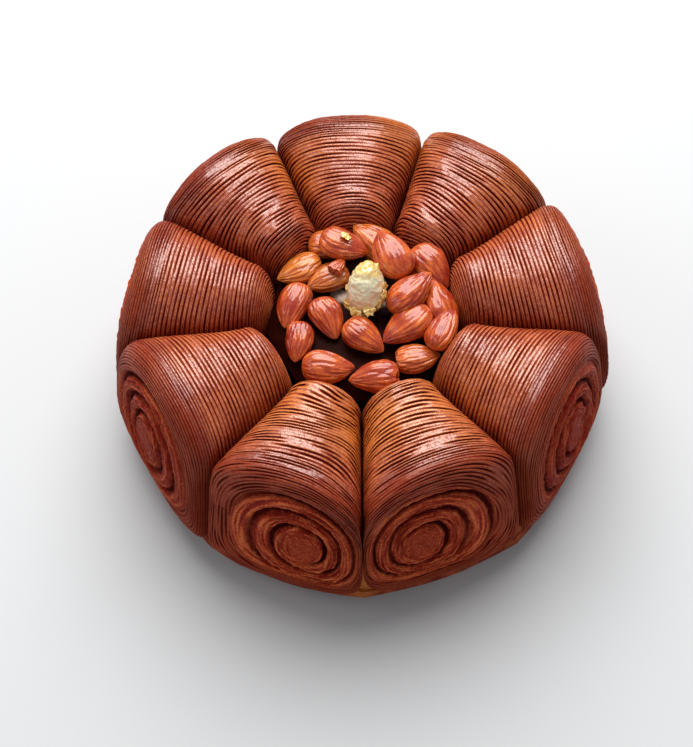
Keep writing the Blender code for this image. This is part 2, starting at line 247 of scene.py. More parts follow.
# %% Sizes of a roll, in millimetres
EYE_RADIUS = 107.6                  # from the crown's middle to the eye of the spiral
SHOULDER_RADIUS = 95.5              # where the outer end turns into the flank
NOSE_RADIUS = 50                    # where the flank turns into the nose
TIP_RADIUS = 38.5
LEAN = 0.146                        # slope by which the outer end leans back
ROLL_FLOOR = 2.9                    # a roll stands on the base sheet
TOP_OUTER, TOP_INNER = 84, 79.5     # height of the crest at the shoulder and at the nose
MIDDLE = 37                         # height of a section's widest line
EYE_HEIGHT = 47.5
EYE_RISE, EYE_PULL = 1.6, 2.5       # how sharply the rings shift towards the eye, up and across
FACE_POWER, NOSE_POWER = 2.41, 1.95     # 2 is a round dome, and more is flatter
SQUARE_TOP, SQUARE_FOOT = 2.2, 2.8      # 2 is a round section, and more is squarer
OVERFILL = 1.24                     # free width of a section, against its share of the crown
PRESS_SOFTNESS = 2.2                # how softly the seams flatten the sides
FACE_SIZE = 38                      # the outer end from its eye to its rim, on average
FACE_WIDTH, FACE_RISE = 35, 46      # the spiral is taller than wide
ROUND_UNTIL = 0.85                  # share of the end over which its turns become a section
SEAM_GAP = 0.18
# Where the seams lie round the crown, in degrees
SEAMS = (112.4, 72.7, 33.9, -7.9, -49.9, -90.3, -129.3, -171.9, -210.5)
# Crest lift, tip set-back, eye offset along the end, hand of the spiral, how far the end stands
# out, and where round the eye the spiral starts
ROLL_TRAITS = (
    (-0.5, 2.0, 2.0, 1, 0.5, 0.0),
    (-1.0, 1.5, 3.0, -1, 0.5, 0.4),
    (0.0, 0.5, -3.0, 1, 0.0, 0.8),
    (0.5, 0.0, 0.0, 1, -2.0, 0.2),
    (0.6, -0.5, -13.0, -1, -1.5, 0.35),
    (0.4, -0.6, 11.5, 1, 0.8, -0.45),
    (0.2, 0.0, -2.0, -1, -0.3, 0.1),
    (-0.8, 0.0, 2.0, -1, 0.0, 0.6),
    (0.0, 1.5, -2.0, 1, 2.0, 0.5),
)
print("crown:", round(2 * EYE_RADIUS), "mm from eye to eye and", TOP_OUTER, "mm high")


# %% From a place on the roll to a point
def smooth(value):
    """A soft step from 0 to 1."""
    value = np.clip(value, 0, 1)
    return value * value * (3 - 2 * value)


def ramp(value, start, width):
    """0 up to start, 1 from start + width on, and a soft step between."""
    return smooth((value - start) / width)


def signed_power(value, power):
    return np.copysign(np.abs(value) ** power, value)


def pressed(across, limit):
    """A free width flattened softly against a seam."""
    near = -PRESS_SOFTNESS * np.logaddexp(-np.abs(across) / PRESS_SOFTNESS, -limit / PRESS_SOFTNESS)
    return np.copysign(near + PRESS_SOFTNESS * np.log1p(np.exp(-limit / PRESS_SOFTNESS)), across)


def roll_form(travel, angle, half_wedge, traits):
    """Reach, place across and height. travel is 0..1 on the end, 1..2 on the flank, 2..3 on the nose."""
    lift, set_back, eye_across, _, stand_out, _ = traits
    shoulder = SHOULDER_RADIUS + stand_out
    nose = NOSE_RADIUS + set_back
    turned = np.clip(travel - 2, 0, 1) * math.pi / 2
    scale = np.where(travel < 1, travel, np.cos(turned) ** (2 / NOSE_POWER))
    drift = np.where(travel < 1, (1 - np.minimum(travel, 1) ** FACE_POWER) ** (1 / FACE_POWER), 0)
    reach = shoulder + (EYE_RADIUS - SHOULDER_RADIUS) * drift
    reach += (nose - shoulder) * np.clip(travel - 1, 0, 1)
    reach -= (NOSE_RADIUS - TIP_RADIUS) * np.sin(turned)
    run = np.clip(reach, nose, shoulder)
    along = ramp(run, nose, shoulder - nose)
    top = TOP_INNER + (TOP_OUTER - TOP_INNER) * along + lift
    roundness = np.where(travel < 1, 1 - smooth(scale / ROUND_UNTIL), 0)
    above = np.sin(angle) >= 0
    rise = np.where(above, top - MIDDLE, MIDDLE - ROLL_FLOOR)
    rise = rise * (1 - roundness) + FACE_RISE * roundness
    width = run * math.tan(half_wedge) * OVERFILL * (1 - roundness) + FACE_WIDTH * roundness
    power = 2 / (np.where(above, SQUARE_TOP, SQUARE_FOOT) * (1 - roundness) + 2 * roundness)
    height = MIDDLE + rise * scale * signed_power(np.sin(angle), power)
    height = np.maximum(height + drift ** EYE_RISE * (EYE_HEIGHT - MIDDLE), ROLL_FLOOR)
    shear = LEAN * (height - EYE_HEIGHT) * along
    seam = (run - shear) * math.tan(half_wedge)
    across = pressed(width * scale * signed_power(np.cos(angle), power), seam)
    across += drift ** EYE_PULL * eye_across
    reach = reach - shear
    limit = reach * math.tan(half_wedge) - SEAM_GAP
    return reach, np.clip(across, -limit, limit), height


def wedge(number):
    """The direction of a roll's axis and half the angle between its seams, in radians."""
    start, end = SEAMS[number], SEAMS[(number + 1) % len(SEAMS)]
    if end > start:
        end -= 360
    return math.radians((start + end) / 2), math.radians((start - end) / 2)


print("wedges, degrees:", [round(2 * math.degrees(wedge(number)[1]), 1) for number in range(len(SEAMS))])

# %% [markdown]
# ## Layers and spiral
# Rolled and baked, laminated dough opens into fine layers. On the flank each layer is a ridge that
# runs round the axis, and between two ridges the gap opens to a dark slit in some places and closes
# in others. A cosine alone would look machined, so every gap draws its own seeded waves, which say
# how far it is open along its way. The outer end shows the same layers from their edge: a deep
# crevice winds from the core outward, with finer lines on each turn.

# %% Depth of the gaps on the flank
RIDGE_PITCH = 1.85
RIDGE_DEPTH = 0.80
RIDGE_STEP = 0.12                   # how much lower one ridge can lie than the next
RIM_CROWDING, RIM_WIDTH = 0.5, 5    # towards the end's rim the ridges lie closer together
WANDER_WAVES = 6
WANDER_LENGTHS = (5, 13)            # the shortest and the longest wave along the roll
GAP_WAVES = 3
GAP_TURNS = (2, 11)                 # how fast a gap opens and closes on its way round
OPEN_CALM, OPEN_RESTLESS = 0.54, 0.3    # how open a gap is, and what a restless roll adds
SWING_CALM, SWING_RESTLESS = 0.05, 0.8  # how much that swings, and what a restless roll adds
OPEN_LIMITS = (0.10, 1.2)
SHUT_POWER, POWER_DROP = 2.9, 1.2   # a closed gap is a thin line, and an open one is broad


def hump(phase):
    """1 at each whole number and 0 halfway between."""
    return 0.5 + 0.5 * np.cos(math.tau * phase)


def uniforms(draw, count, low, high):
    """So many numbers of one seeded draw."""
    return np.array([draw.uniform(low, high) for _ in range(count)])


def wander(distance, angle, draw, amount):
    """Slow waves, in pitches, that push the ridges to and fro. Whole waves close round the roll."""
    total = np.zeros_like(distance)
    for turn_count in range(1, WANDER_WAVES + 1):
        length = draw.uniform(*WANDER_LENGTHS)
        phase = draw.uniform(0, math.tau)
        total += np.sin(turn_count * angle + distance / length + phase) / turn_count ** 0.5
    return total * amount


def gaps(distance, angle, hand, draw, restless, slope):
    """How open the gap is at each place, how low its ridge lies, the phase, and the ridge's crest."""
    crowded = distance + RIM_CROWDING * np.minimum(distance - RIM_WIDTH, 0)
    phase = crowded / RIDGE_PITCH - hand * angle / math.tau + wander(distance, angle, draw, restless)
    phase += slope * np.cos(angle)
    phase -= np.floor(phase.min())
    number = np.floor(phase + 0.5).astype(int)
    ridge = np.floor(phase).astype(int)
    opening = np.full_like(distance, OPEN_CALM + OPEN_RESTLESS * restless)
    swing = SWING_CALM + SWING_RESTLESS * restless
    for _ in range(GAP_WAVES):
        turns = uniforms(draw, number.max() + 1, *GAP_TURNS)
        phases = uniforms(draw, number.max() + 1, 0, math.tau)
        opening += swing * np.sin(turns[number] * angle + phases[number])
    opening = np.clip(opening, *OPEN_LIMITS)
    wide = np.minimum(opening, 1)
    wave = hump(phase)
    lows = uniforms(draw, ridge.max() + 1, 0, 1)
    gap = opening * wave ** (SHUT_POWER - POWER_DROP * wide)
    crest = 1 - wave * (0.5 + 0.5 * wide)
    return gap, lows[ridge] * (1 - wave), phase, crest


print("ridges along a flank:", round((SHOULDER_RADIUS - NOSE_RADIUS) / RIDGE_PITCH))

# %% Depth of the spiral on the outer end
SPIRAL_PITCH = 7.0
SPIRAL_DEPTH = 3.0
SPIRAL_START = 8.2                  # inside this radius the core is solid and rough
CORE_EDGE = 1.8                     # width of the step down from the core
DEEP_EDGE = (3, 5)                  # from the core, where the crevice's deepest part ends, and how softly
TURN_WANDER, TURN_RAGGED = 0.025, 0.07
CREVICE, CREVICE_DEEP, GROOVE = 0.45, 0.25, 0.55    # a narrow crevice in a broad groove
CREVICE_POWER, GROOVE_POWER = 9, 2
PULSE_MEAN, PULSE_SWING, PULSE_LENGTH = 0.55, 0.45, 6
STRIAE = 5                          # fine lines on each turn
STRIA_DEPTH = 0.45
STRIA_POWER = 1.5
LINE_WANDER, LINE_RAGGED = 0.15, 0.12
LINE_EDGE = (4, 5)
LINE_MEAN, LINE_SWING, LINE_LENGTH = 0.55, 0.6, 2
STREAK_DEPTH = 0.5                  # torn streaks that run round the end


def spiral(radius, angle, hand, start, ragged, draw):
    """The crevice between the turns, the fine lines on them, both from 0 to 1, and the lines' phase."""
    turns = radius / SPIRAL_PITCH - hand * angle / math.tau + start
    turns = turns + wander(radius, angle, draw, TURN_WANDER)
    wave = hump(turns + TURN_RAGGED * ragged)
    swell = np.sin(2 * angle + radius / PULSE_LENGTH + draw.uniform(0, math.tau))
    pulse = PULSE_MEAN + PULSE_SWING * swell
    deep = 1 - ramp(radius - SPIRAL_START, *DEEP_EDGE)
    crevice = (CREVICE + CREVICE_DEEP * deep) * wave ** CREVICE_POWER * np.maximum(pulse, deep)
    crevice = crevice + GROOVE * wave ** GROOVE_POWER
    crevice *= ramp(radius, SPIRAL_START, CORE_EDGE)
    fine = turns * STRIAE + wander(radius, angle, draw, LINE_WANDER) + LINE_RAGGED * ragged
    lines = hump(fine) ** STRIA_POWER
    swell = np.sin(3 * angle + radius / LINE_LENGTH + draw.uniform(0, math.tau))
    strength = np.clip(LINE_MEAN + LINE_SWING * swell, 0, 1)
    return crevice, lines * strength * ramp(radius, *LINE_EDGE), fine


print("turns of a spiral:", round((FACE_SIZE - SPIRAL_START) / SPIRAL_PITCH, 1))

# %% [markdown]
# ## Browned crust
# The real crust is lacquered with syrup and baked nearly to mahogany. It could take one brown with
# noise in it, but here the colour also carries painted light and shade by height: the gaps take a
# painted shade that is almost black, the flanks of a ridge are chestnut shaded towards deep brown,
# and its crest turns to amber as a painted highlight. So the mesh keeps numbers for the material:
# how deep a point lies (sunk), how near it is to a ridge's crest, how golden its patch is, with a few
# spots of painted light among them, how much painted shade it takes on the outer side, at the rim
# and beside the seams, how much it belongs to the spiral's end, and how light its torn streak is there.
# How far a point is from one layer to the next is kept as a cosine and a sine, which have no jump
# where a turn is complete, and from them come leaves finer than the mesh. A patchy coat on what
# looks upward gives the syrup's broken gloss.

# %% The crust's colours and grain
# painted shade, nearly black, in the gaps between ridges and in the spiral's crevices
GAP_SHADE_COLOUR = (0.080, 0.0025, 0.001, 1)
DEEP_COLOUR = (0.24, 0.018, 0.007, 1)
CHESTNUT = (0.56, 0.102, 0.032, 1)
# painted highlight on the ridges' crests
CREST_HIGHLIGHT = (0.90, 0.265, 0.085, 1)
GOLDEN = (0.95, 0.30, 0.052, 1)
END_DARK = (0.24, 0.010, 0.004, 1)
END_LIGHT = (0.72, 0.100, 0.028, 1)
# painted glints on the spiral's end
END_GLINT = (0.90, 0.26, 0.095, 1)
BLOTCH_SIZE, SPECK_SIZE, GRAIN_SIZE = 11 * MM, 1.3 * MM, 0.45 * MM
LEAVES = 3                          # fine leaves between two gaps
CREST_RANGE = (0.30, 1.0)           # what counts as crest: none below the first, all above the second
TONE_RANGE = (0.22, 0.78)
END_RANGE = (0.15, 0.85)
GLINT_RANGE = (0.66, 0.92)
SUNK_RANGE = (0.12, 0.75)
WET_RANGE = (0.38, 0.62)
CRUST_RELIEF = 0.45 * MM

crust = Finish("browned_crust", Specular_IOR_Level=0.05, Coat_Roughness=0.27, Coat_IOR=1.95)
sunk, golden, on_end = (crust.attribute(name) for name in ("sunk", "golden", "on_end"))
streak, upward = crust.attribute("streak"), crust.attribute("upward")
crest = crust.attribute("crest").between(*CREST_RANGE)
blotches = crust.clouds(BLOTCH_SIZE, 3)
specks = crust.clouds(SPECK_SIZE, 3, roughness=0.7)
grains = crust.clouds(GRAIN_SIZE, 2)
layer_ends = {0: crust.attribute("layer_sin"), 1: crust.attribute("layer_cos")}
layer = crust.wire("Math", {"operation": "ARCTAN2"}, layer_ends)
leaf = crust.wire("Math", {"operation": "COSINE"}, {0: layer * LEAVES + blotches * 6})
print("crust nodes so far:", len(crust.tree.nodes))

# %% The crust's colour and gloss
# This mask is painted shade: it darkens the outer sides, the end's rim and the sides beside the seams.
unshaded = 1 - crust.attribute("baked")
tone = (blotches * 0.6 + specks * 0.7 - leaf * 0.20 - 0.18).between(*TONE_RANGE)
tone = tone * unshaded
# Away from a ridge's crest the brown falls to deep brown as painted shade, and on the crest it turns amber
# as a painted highlight.
brown = crust.mix(tone * (0.35 + crest * 0.65), DEEP_COLOUR, CHESTNUT)
brown = crust.mix(crest * tone * 0.85, brown, CREST_HIGHLIGHT)
brown = crust.mix((golden * (0.2 + specks) * (0.25 + crest * 0.85)).clamped(), brown, GOLDEN)
end_share = (specks * 0.6 + grains * 0.4 + streak * 0.6 - 0.32).between(*END_RANGE)
end = crust.mix(end_share * unshaded, END_DARK, END_LIGHT)
# Small painted glints on the end.
glints = (grains * 0.9 + specks * 0.3 + streak * 0.4 - 0.12).between(*GLINT_RANGE)
end = crust.mix(glints * unshaded * 0.65, end, END_GLINT)
brown = crust.mix(on_end, brown, end)
# Where a point is sunk, in a gap, a crevice or a fine line, its colour is painted shade.
crust.surface("Base Color", crust.mix(sunk.between(*SUNK_RANGE), brown, GAP_SHADE_COLOUR))
crust.surface("Roughness", 0.5 + sunk * 0.3)
wet = (specks * 0.6 + grains * 0.5).between(*WET_RANGE) * upward
crust.surface("Coat Weight", (wet * (1 - sunk * 2.2) * (1 - on_end * 0.6)).clamped())
bumps = specks * (0.4 + on_end * 1.1) + grains * (0.4 + on_end * 0.5) - leaf * 0.3
crust.relief(bumps, CRUST_RELIEF, 0.8)
print("crust nodes:", len(crust.tree.nodes))

# %% [markdown]
# ## Meshes as tables
# A roll has ninety thousand vertices, too many to move one by one in Python. So each ball is made
# by bmesh, its vertices are read as one table, the sums are done on whole columns, and the table is
# written back. Each piece rides on the crown and takes the place of its solid.

# %% Read, move and mark a mesh
def read(mesh, quantity="vertices", field="co"):
    """One row of three numbers for each vertex."""
    flat = np.empty(len(mesh.vertices) * 3)
    getattr(mesh, quantity).foreach_get(field, flat)
    return flat.reshape(-1, 3)


def move(mesh, points):
    """Put the vertices at these points, in millimetres."""
    mesh.vertices.foreach_set("co", (points * MM).ravel())
    mesh.update()


def paint(mesh, name, values):
    """Keep one number a vertex for a material to read."""
    layer = mesh.attributes.new(name, "FLOAT", "POINT")
    layer.data.foreach_set("value", np.asarray(values, dtype=np.float32))


def ball_angles(ball):
    """How far each vertex of a ball is from its pole, and which way round it lies."""
    return np.arccos(np.clip(ball[:, 2], -1, 1)), np.arctan2(ball[:, 1], ball[:, 0])


def new_piece(shape, name, slot, material, *replaced):
    """A finished bmesh as a piece that rides on the crown."""
    mesh = bpy.data.meshes.new(name)
    shape.to_mesh(mesh)
    shape.free()
    mesh.materials.append(material)
    mesh.shade_smooth()
    piece = bpy.data.objects.new(name, mesh)
    bpy.context.scene.collection.objects.link(piece)
    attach(piece, "root")
    if replaced:
        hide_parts(*replaced)
    return piece


def uneven(points, size):
    """Noise from about -1 to 1 at each point, with lumps of a size in millimetres."""
    return np.array([noise.noise(point) for point in (points / size).tolist()])


def patches(points, spots):
    """A soft spot of a given strength round each place on the crown, added up."""
    total = np.zeros(len(points))
    for x, y, size, strength in spots:
        total += strength * np.exp(-((points[:, 0] - x) ** 2 + (points[:, 1] - y) ** 2) / size ** 2)
    return np.minimum(total, 1)


ROLL_COLUMNS, ROLL_ROWS = 184, 500
ball_shape = bmesh.new()
bmesh.ops.create_uvsphere(ball_shape, u_segments=ROLL_COLUMNS, v_segments=ROLL_ROWS, radius=1)
print("ball for a roll:", len(ball_shape.verts), "vertices")

# %% [markdown]
# ## Nine rolls
# Each roll starts as a ball with many rings. The rings are spaced evenly along the crest so that
# every ridge gets the same number of them, and the columns crowd towards the top, which shows most.
# First the smooth form is set, then each vertex sinks along its own normal by the depth of the gap
# or crevice that it lies in. A displacement in the material would be quicker to write, but this
# relief is real geometry and goes along with the mesh.

# %% The smooth form of a roll
CROWDING = 0.3                      # how much the columns crowd towards the crest
LUMP_HEIGHT, LUMP_SIZE = 0.9, 24
LUMP_OUT, LUMP_UP = 0.5, 0.8        # how a lump's height is shared between outward and upward
TRAVEL_END, CREST_SAMPLES = 3, 3001


def even_travel(half_wedge, traits):
    """Places along the crest at even steps, and how far past the rim each one is."""
    travel = np.linspace(0, TRAVEL_END, CREST_SAMPLES)
    crest_angle = np.full_like(travel, math.pi / 2)
    reach, _, height = roll_form(travel, crest_angle, half_wedge, traits)
    length = np.concatenate([[0], np.cumsum(np.hypot(np.diff(reach), np.diff(height)))])
    steps = np.linspace(0, length[-1], ROLL_ROWS + 1)
    rim = np.interp(1, travel, length)
    return np.interp(steps, length, travel), steps - rim


def set_form(mesh, number, travel, angle):
    """Give a ball the smooth form of a roll. Returns its points, its normals, and how far from the
    roll's axis (0) to its seam (1) each point is, with its reach from the crown's middle."""
    axis, half_wedge = wedge(number)
    reach, across, height = roll_form(travel, angle, half_wedge, ROLL_TRAITS[number])
    radial = np.array([math.cos(axis), math.sin(axis), 0])
    tangent = np.array([-math.sin(axis), math.cos(axis), 0])
    up = np.array([0, 0, 1])
    points = reach[:, None] * radial + across[:, None] * tangent + height[:, None] * up
    above = ramp(height, ROLL_FLOOR, MIDDLE - ROLL_FLOOR)
    lift = uneven(points, LUMP_SIZE) * LUMP_HEIGHT * above
    points += lift[:, None] * (radial * LUMP_OUT + up * LUMP_UP)
    move(mesh, points)
    beside = np.abs(across) / (reach * math.tan(half_wedge))
    return points, read(mesh, "vertex_normals", "vector"), beside, reach


crest_length = even_travel(wedge(0)[1], ROLL_TRAITS[0])[1]
print("a ring every", round(crest_length[1] - crest_length[0], 2), "mm")

# %% The depth of a roll's relief
ROLL_SEED = 40
# How unevenly each roll's gaps run and open
RESTLESS =(0.17, 0.28, 0.09, 0.09, 0.46, 0.48, 0.08, 0.08, 0.30)
SLOPE = (1.0, 0.5, 0, 0, 0.6, -0.6, 0, 0, -0.5)   # how many ridges a ridge drops across the roll
END_EDGE = (0.62, 0.14)             # on the end, where the spiral's look stops, and how softly
CREVICE_EDGE = (0.64, 0.16)
NOSE_EDGE = (2.7, 0.3)
NOSE_CLOSED, RIM_CLOSED = 0.7, 0.3  # how much shallower the gaps are at the nose and at the rim
RAGGED_SIZE, GRAIN_LUMP = 1.9, 2.6
GRAIN_FLANK, GRAIN_CORE = 0.16, 0.55
STREAK_ACROSS, STREAK_ROUND = 1.3, 1.8  # a streak is narrow across the turns and long round them
STREAK_EDGE = (5, 6)
STREAK_SHIFT = 5                    # each roll reads its own part of the noise
FUSED_PATCHES = ((23, 98, 15, 0.75), (30, -72, 6, 0.3), (-60, 62, 8, 0.3))   # layers baked together


def relief(points, travel, angle, distance, number):
    """How deep each point sinks, and the masks that the crust's colours follow."""
    _, _, _, hand, _, start = ROLL_TRAITS[number]
    draw = random.Random(ROLL_SEED + number)
    radius = np.minimum(travel, 1) * FACE_SIZE
    crevice, lines, fine = spiral(radius, angle, hand, start, uneven(points, RAGGED_SIZE), draw)
    on_end = 1 - ramp(travel, *END_EDGE)
    crevice *= 1 - ramp(travel, *CREVICE_EDGE)
    gap, low, phase, crest = gaps(distance, angle, hand, draw, RESTLESS[number], SLOPE[number])
    closed = 1 - NOSE_CLOSED * ramp(travel, *NOSE_EDGE)
    gap *= (1 - on_end) * closed * (1 - patches(points, FUSED_PATCHES))
    rough = uneven(points, GRAIN_LUMP) * (GRAIN_FLANK + (GRAIN_CORE - GRAIN_FLANK) * on_end)
    depth = SPIRAL_DEPTH * crevice + STRIA_DEPTH * lines * on_end + rough
    near_rim = 1 - smooth(distance / RIM_WIDTH)
    ridges = RIDGE_DEPTH * gap + RIDGE_STEP * low * (1 - on_end)
    depth += ridges * (1 - RIM_CLOSED * near_rim)
    round_end = np.column_stack([radius * STREAK_ACROSS, np.cos(angle) * STREAK_ROUND,
                                 np.sin(angle) * STREAK_ROUND + number * STREAK_SHIFT])
    streak = uneven(round_end, 1) * ramp(radius, *STREAK_EDGE)
    depth -= STREAK_DEPTH * streak * on_end
    layer = np.where(on_end > 0.5, fine, phase) * math.tau
    masks = {"crevice": crevice, "gap": gap, "lines": lines * on_end, "crest": crest, "on_end": on_end,
             "near_rim": near_rim, "streak": streak, "radius": radius, "layer": layer}
    return depth, masks


print("restless rolls:", [number + 1 for number, amount in enumerate(RESTLESS) if amount > 0.4])

# %% The marks for the crust's colours
LINE_SHADE = 0.45                   # painted shade in the end's fine lines, against a gap's
OUTER_SIDE_SHADE = (0, 0, 0.2, 0.6, 0.1, 0, 0.5, 0.1, 0)     # painted shade on each roll's outer side, as a share
OUTER_SHADE_EDGE = (84, 14)
# painted shade at the rim of the end and beside the seams
RIM_SHADE, SEAM_SHADE = 0.7, 0.5
SEAM_EDGE = (0.70, 0.30)
UPWARD_EDGE = (0.05, 0.5)           # how far a normal points up where the gloss begins
END_DULL, END_DULL_WIDTH = 0.7, 3   # the gloss fades from the rim into the end
STREAK_MEAN, STREAK_SWING = 0.42, 0.8
OUTER_EDGE, OUTER_LIGHT = (17, 8), 0.20     # the outer turns are lighter than the core
# Mostly golden browning; the spots at (-48, 78), (-70, -30) and (-95, 14) on the left rolls are painted
# light.
GOLDEN_AND_LIT_PATCHES = (                  # centre on the crown, size and strength, in millimetres
    (23, 98, 20, 0.9), (-30, 72, 14, 0.7), (70, 62, 18, 0.5), (-24, -54, 20, 0.7),
    (26, -56, 22, 0.75), (6, -62, 12, 0.8), (-2, -70, 10, 0.5), (-48, 78, 12, 0.3),
    (62, -38, 14, 0.25), (90, 28, 14, 0.25), (-70, -30, 16, 0.2), (-95, 14, 12, 0.2),
)


def mark_roll(mesh, number, points, normals, beside, reach, distance, masks):
    """Keep on the mesh what the crust's finish reads."""
    on_end, layer = masks["on_end"], masks["layer"]
    deepest = np.maximum(masks["crevice"], masks["gap"])
    paint(mesh, "sunk", np.maximum(deepest, masks["lines"] * LINE_SHADE))
    paint(mesh, "crest", masks["crest"])
    # The painted shade: on the outer side, at the rim and beside the seams.
    side_and_rim_shade = OUTER_SIDE_SHADE[number] * ramp(reach, *OUTER_SHADE_EDGE)
    side_and_rim_shade = np.maximum(side_and_rim_shade, RIM_SHADE * masks["near_rim"] * (1 - on_end))
    paint(mesh, "baked", np.maximum(side_and_rim_shade, SEAM_SHADE * ramp(beside, *SEAM_EDGE)))
    dull = 1 - END_DULL * smooth(-distance / END_DULL_WIDTH)
    paint(mesh, "upward", ramp(normals[:, 2], *UPWARD_EDGE) * dull)
    outer_turn = ramp(masks["radius"], *OUTER_EDGE) * OUTER_LIGHT
    paint(mesh, "streak", np.clip(STREAK_MEAN + masks["streak"] * STREAK_SWING + outer_turn, 0, 1))
    paint(mesh, "golden", patches(points, GOLDEN_AND_LIT_PATCHES) * (1 - on_end))
    paint(mesh, "on_end", on_end)
    paint(mesh, "layer_cos", np.cos(layer))
    paint(mesh, "layer_sin", np.sin(layer))


def make_roll(number):
    roll = new_piece(ball_shape.copy(), f"layered_roll_{number + 1}", "browned_crust", crust.material,
                     f"roll_{number + 1}")
    down, angle = ball_angles(read(roll.data))
    row = np.rint(down / math.pi * ROLL_ROWS).astype(int)
    angle = angle + CROWDING * np.cos(angle)
    travels, distances = even_travel(wedge(number)[1], ROLL_TRAITS[number])
    travel, distance = travels[row], distances[row]
    points, normals, beside, reach = set_form(roll.data, number, travel, angle)
    depth, masks = relief(points, travel, angle, distance, number)
    points -= depth[:, None] * normals
    points[:, 2] = np.maximum(points[:, 2], ROLL_FLOOR)
    move(roll.data, points)
    mark_roll(roll.data, number, points, normals, beside, reach, distance, masks)
    return roll


rolls = [make_roll(number) for number in range(len(SEAMS))]
ball_shape.free()
print("rolls:", len(rolls), "with", len(rolls[0].data.polygons), "faces each")

# %% [markdown]
# ## Almonds
# A shelled almond is a flattened drop: a pointed tip, a round butt and a skin that wrinkles along
# its length. The solids already say where each one lies, so its pose is read back from them: the
# vertex farthest from the middle is the tip, and the widest direction across gives the flat side.

# %% The almond's skin
SKIN_DARK = (0.33, 0.019, 0.004, 1)
SKIN_LIGHT = (0.90, 0.200, 0.032, 1)
SKIN_GOLD = (0.88, 0.32, 0.05, 1)
SKIN_BLOTCH, SKIN_SPECK = 7 * MM, 0.9 * MM
SKIN_RANGE = (0.2, 0.8)
SKIN_RELIEF = 0.15 * MM

skin = Finish("almond_skin", Specular_IOR_Level=0.2, Coat_Weight=0.85, Coat_Roughness=0.1, Coat_IOR=1.6)
furrow_shade, skin_pale = skin.attribute("furrow"), skin.attribute("pale")
skin_blotches = skin.clouds(SKIN_BLOTCH, 3)
skin_specks = skin.clouds(SKIN_SPECK, 3)
skin_tone = (skin_blotches * 1.1 + skin_specks * 0.4 - 0.28).between(*SKIN_RANGE)
skin_brown = skin.mix(skin_tone, SKIN_DARK, SKIN_LIGHT)
skin_brown = skin.mix((skin_pale * (0.4 + skin_specks)).clamped(), skin_brown, SKIN_GOLD)
# The furrows are darkened as painted shade.
skin_brown = skin.mix((furrow_shade * 0.75).clamped(), skin_brown, SKIN_DARK)
skin.surface("Base Color", skin_brown)
skin.surface("Roughness", 0.22 + skin_specks * 0.2)
skin.relief(skin_specks, SKIN_RELIEF, 0.5)
print("skin nodes:", len(skin.tree.nodes))

# %% Pose of an almond, read from its solid
BROKEN_SHARE = 0.675                # what is left of the broken almond's length


def corners(node):
    """The corners of a solid, each once, in millimetres."""
    return np.unique(read(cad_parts[node].data).round(6), axis=0) / MM


def pose_of(node):
    """An almond's middle, its axes as columns (tip, side, flat), and its length, in millimetres."""
    points = corners(node)
    middle = points.mean(axis=0)
    offsets = points - middle
    tip = offsets[np.argmax((offsets ** 2).sum(axis=1))]
    tip = tip / np.linalg.norm(tip)
    along = offsets @ tip
    beside = offsets - along[:, None] * tip
    side = beside[np.argmax((beside ** 2).sum(axis=1))]
    side = side / np.linalg.norm(side)
    length = along.max() - along.min()
    if node.startswith("broken"):
        length /= BROKEN_SHARE
    centre = middle + tip * (along.max() - length / 2)
    return centre, np.column_stack([tip, side, np.cross(tip, side)]), length


almond_nodes = sorted(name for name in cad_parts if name.startswith("almond_")) + ["broken_almond"]
print("almonds to dress:", len(almond_nodes))

# %% The furrows of an almond
FURROWS = 15
FURROW_FAMILIES = (0.35, 0.6, 1.0, 1.5)     # shares of that number, from broad folds to fine lines
FURROW_POWER = 2.5
FURROW_STRENGTH = (0.5, 1.0)
MOST_FURROWED = 1.3
FADE = 1.6                          # how quickly the furrows begin past the tip and the butt
BEND, BEND_WAVES = (0.5, 1.6), (1.2, 3)
END_POWER, TAPER_POWER, PROFILE_PEAK = 0.86, 0.6, 0.87


def furrows(turned, around, draw):
    """Wavy lines from tip to butt that fade out at both."""
    waves = np.zeros(len(turned))
    for share in FURROW_FAMILIES:
        lines = round(FURROWS * share)
        phase = draw.uniform(0, math.tau)
        bend = draw.uniform(*BEND) * np.sin(turned * draw.uniform(*BEND_WAVES) + draw.uniform(0, 6))
        wave = np.abs(np.sin(lines * around / 2 + phase + bend))
        waves += (1 - wave) ** FURROW_POWER * draw.uniform(*FURROW_STRENGTH)
    return np.clip(waves, 0, MOST_FURROWED) * smooth(np.sin(turned) * FADE)


def drop_profile(turned):
    """Half width of the drop at a place from the tip (0) to the butt (pi)."""
    return np.sin(turned) ** END_POWER * np.sin(turned / 2) ** TAPER_POWER / PROFILE_PEAK


widest = max(range(181), key=lambda degrees: drop_profile(math.radians(degrees)))
print("an almond is widest", widest, "degrees from its tip")

# %% Build the almonds
ALMOND_COLUMNS, ALMOND_ROWS = 96, 72
ALMOND_WIDTH, ALMOND_THICKNESS = 0.71, 0.50     # against the length
FURROW_DEPTH = 0.5
DENT, DENT_SIZE, DENT_LIMIT = 0.7, 6, 0.3       # the skin's shallow dents
BULGE_ROUND, BULGE_ALONG = 0.04, 0.03
ALMOND_SEED = 300
PALE_ALMONDS = {"almond_05": 0.3, "almond_06": 0.8, "almond_07": 0.35, "almond_11": 0.4, "almond_12": 0.6}
BROKEN_BUTTS = ("almond_04", "almond_05")
BROKEN_AT, BUTT_AT = -0.35, -0.84   # where they end, from the tip (1) to the butt (-1)
BREAK_WAVE = 0.05                   # how far the broken edge wanders
BOW = 0.05                          # how far a drop may bend sideways, against its length


